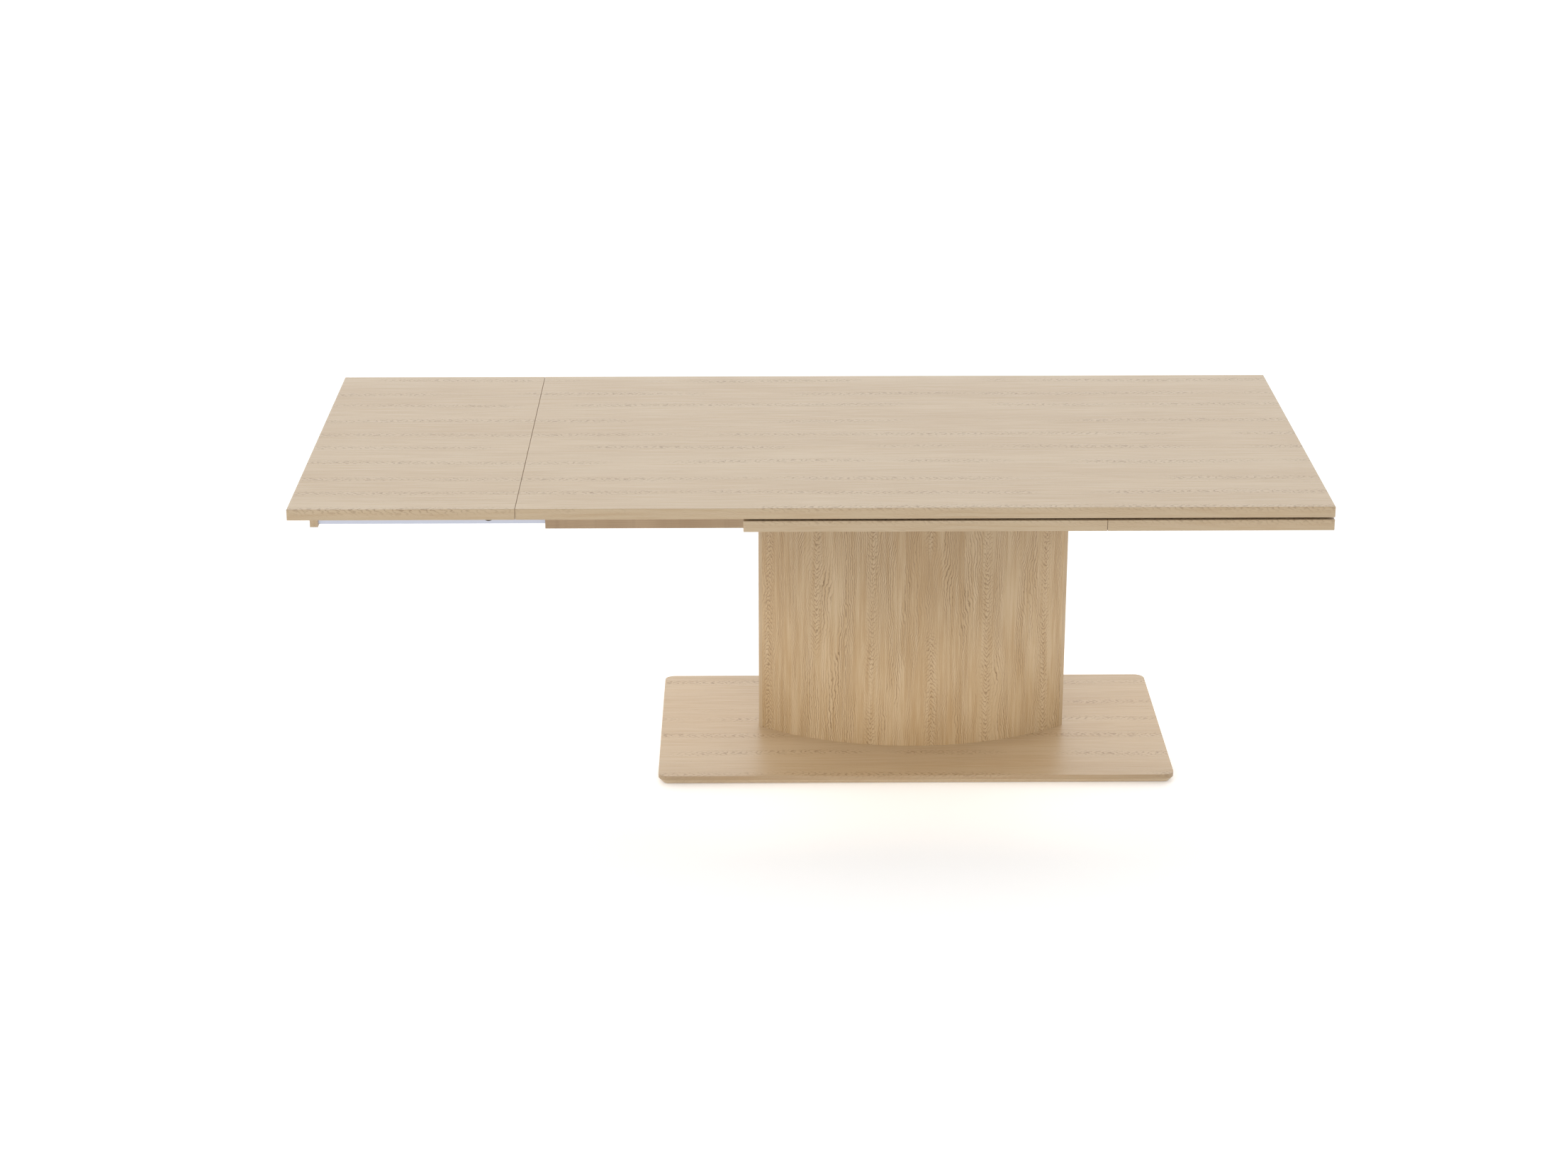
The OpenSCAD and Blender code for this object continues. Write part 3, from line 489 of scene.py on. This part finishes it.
# Inside the pedestal: birch plywood plates and ribs, glued in, with pale and dark plies on their edges.
birch, tree, shader = new_material("birch plywood", Roughness=0.7)
x, y, z = texture_place(tree)
PAIRS_OF_PLIES_TO_A_METRE = 714.0
ply = ((z * PAIRS_OF_PLIES_TO_A_METRE).do("FRACT") - 0.5).do("SIGN") * 0.5 + 0.5
grain = cloud(tree, x * 8.0, y * 220.0, z * 300.0, 3.0)
BIRCH_PALE = (0.62, 0.47, 0.30, 1)
BIRCH_DARK = (0.42, 0.28, 0.15, 1)
feed(tree, shader.inputs["Base Color"], blend(tree, ply * 0.35 + grain * 0.5, BIRCH_PALE, BIRCH_DARK))
dress(birch, "pedestal_foot_plate", "pedestal_head_plate", "pedestal_left_rib", "pedestal_right_rib")

# ---- Base plate
# One veneered slab with rounded corners. Its edge is upright above and cut back below, so it seems to float,
# and its upright edge is darkened by painted shade. It stands on felt glides.
dress(veneered_board("light oak veneer of the base plate", 0.024, edge_shade=0.4), "base_plate")

felt, tree, shader = new_material("pressed wool felt", Roughness=0.95, Sheen_Weight=0.4)
x, y, z = texture_place(tree)
hairs = cloud(tree, x * 900.0, y * 900.0, z * 900.0, 4.0, 0.7)
FELT_DARK = (0.03, 0.028, 0.026, 1)
FELT_LIGHT = (0.09, 0.085, 0.08, 1)
feed(tree, shader.inputs["Base Color"], blend(tree, hairs, FELT_DARK, FELT_LIGHT))
bump(tree, shader, hairs, 0.0004)
dress(felt, "base_glides")

# ---- Under-frame
# Planed oak rails, runners and bearers, a little darker and browner than the veneer, and oiled. Screws hold
# them to each other, and the battens tie each pair of sliding rails.
FRAME_OAK = ((0.43, 0.31, 0.19, 1), (0.34, 0.23, 0.13, 1), (0.15, 0.09, 0.05, 1))
rail_oak = timber("oiled oak of the long rails", "xyz", 0.6, FRAME_OAK)
dress(rail_oak, "front_side_rail", "rear_side_rail", "front_inner_runner", "rear_inner_runner")
cross_oak = timber("oiled oak of the cross pieces", "yxz", 0.6, FRAME_OAK)
dress(cross_oak, "left_bearer", "centre_bearer", "right_bearer", "left_end_rail", "right_end_rail")
batten_oak = timber("solid oak battens", "yxz", 0.5, LIGHT_OAK)
dress(batten_oak, "left_batten", "right_batten")

# ---- Slides
# Drawn aluminium rails, matt anodised, run in folded zinc-plated steel channels that are screwed to the inner
# runners. Nylon shoes guide the rails' inner ends.


def brushed(name, order, colour, streaks, rough):
    """Metal with fine drawn lines along the first axis in order; streaks is how much its tone varies."""
    material, tree, shader = new_material(name, Metallic=1.0)
    axes = dict(zip("xyz", texture_place(tree)))
    a, b, c = (axes[letter] for letter in order)
    lines = cloud(tree, a * 15.0, b * 2500.0, c * 2500.0, 2.0, 0.6)
    cast = cloud(tree, a * 6.0, b * 25.0, c * 25.0, 2.0)
    low = tuple(channel * (1 - streaks) for channel in colour) + (1,)
    high = tuple(min(1, channel * (1 + streaks)) for channel in colour) + (1,)
    feed(tree, shader.inputs["Base Color"], blend(tree, lines * 0.6 + cast * 0.4, low, high))
    feed(tree, shader.inputs["Roughness"], lines * 0.12 + cast * 0.08 + (rough - 0.1))
    bump(tree, shader, lines, 0.00003)
    return material


anodised = brushed("matt anodised aluminium", "xyz", (0.52, 0.54, 0.62), 0.06, 0.42)
CORNERS = [f"{side}_{face}" for side in ("left", "right") for face in ("front", "rear")]
dress(anodised, *(f"{corner}_sliding_rail" for corner in CORNERS))
zinc = brushed("zinc-plated channel steel", "xyz", (0.42, 0.43, 0.44), 0.18, 0.38)
dress(zinc, *(f"{corner}_guide_channel" for corner in CORNERS))
nylon, tree, shader = new_material(
    "natural nylon", Roughness=0.45, Subsurface_Weight=0.15, Subsurface_Scale=0.002
)
x, y, z = texture_place(tree)
mould = cloud(tree, x * 150.0, y * 150.0, z * 150.0, 3.0)
NYLON_DULL = (0.68, 0.67, 0.62, 1)
NYLON_BRIGHT = (0.78, 0.77, 0.73, 1)
feed(tree, shader.inputs["Base Color"], blend(tree, mould, NYLON_DULL, NYLON_BRIGHT))
dress(nylon, "left_rail_shoes", "right_rail_shoes")

# ---- Lift arms, brackets and lugs
# Stamped and bent steel with a dark bronze powder coat, which has a fine orange-peel skin. The lugs sit on the
# battens and the brackets under the leaves, and the arms turn on pins.
coated, tree, shader = new_material("dark bronze powder coat")
x, y, z = texture_place(tree)
peel = cloud(tree, x * 1800.0, y * 1800.0, z * 1800.0, 2.0)
dust = cloud(tree, x * 60.0, y * 60.0, z * 60.0, 3.0)
BRONZE_DARK = (0.045, 0.037, 0.032, 1)
BRONZE_DUSTY = (0.075, 0.063, 0.054, 1)
feed(tree, shader.inputs["Base Color"], blend(tree, dust, BRONZE_DARK, BRONZE_DUSTY))
feed(tree, shader.inputs["Roughness"], peel * 0.15 + 0.42)
bump(tree, shader, peel, 0.00005)
dress(
    coated,
    *(
        side + part
        for side in ("left_", "right_")
        for part in ("shaft_lugs", "cross_shaft", "leaf_brackets")
    ),
    "left_front_inner_arm",
    "left_rear_inner_arm",
    "right_inner_arms",
    "slide_stop_pins",
)

# ---- Fixings
# Bright zinc-plated screws, rods, nuts and pins. Four tie rods with nuts clamp the base plate, the pedestal and
# the bearers together.
bright = brushed("bright zinc plating", "zxy", (0.60, 0.60, 0.57), 0.12, 0.32)
dress(
    bright,
    *"tie_rods tie_rod_nuts frame_screws channel_screws panel_screws top_screws".split(),
    *"left_carriage_screws left_inner_arm_pins left_leaf_pins right_carriage_screws right_pivot_pins".split(),
)

# ---- Leaf dowels
# Turned beech, glued into the leaves' inner edges, with a chamfered nose that finds its socket.
beech, tree, shader = new_material("turned beech", Roughness=0.5)
x, y, z = texture_place(tree)
fleck = cloud(tree, x * 120.0, y * 1500.0, z * 1500.0, 2.0)
BEECH_PALE = (0.58, 0.38, 0.22, 1)
BEECH_FLECK = (0.44, 0.27, 0.14, 1)
feed(tree, shader.inputs["Base Color"], blend(tree, fleck, BEECH_PALE, BEECH_FLECK))
bump(tree, shader, fleck, 0.00005)
dress(beech, "left_leaf_dowels", "right_leaf_dowels")
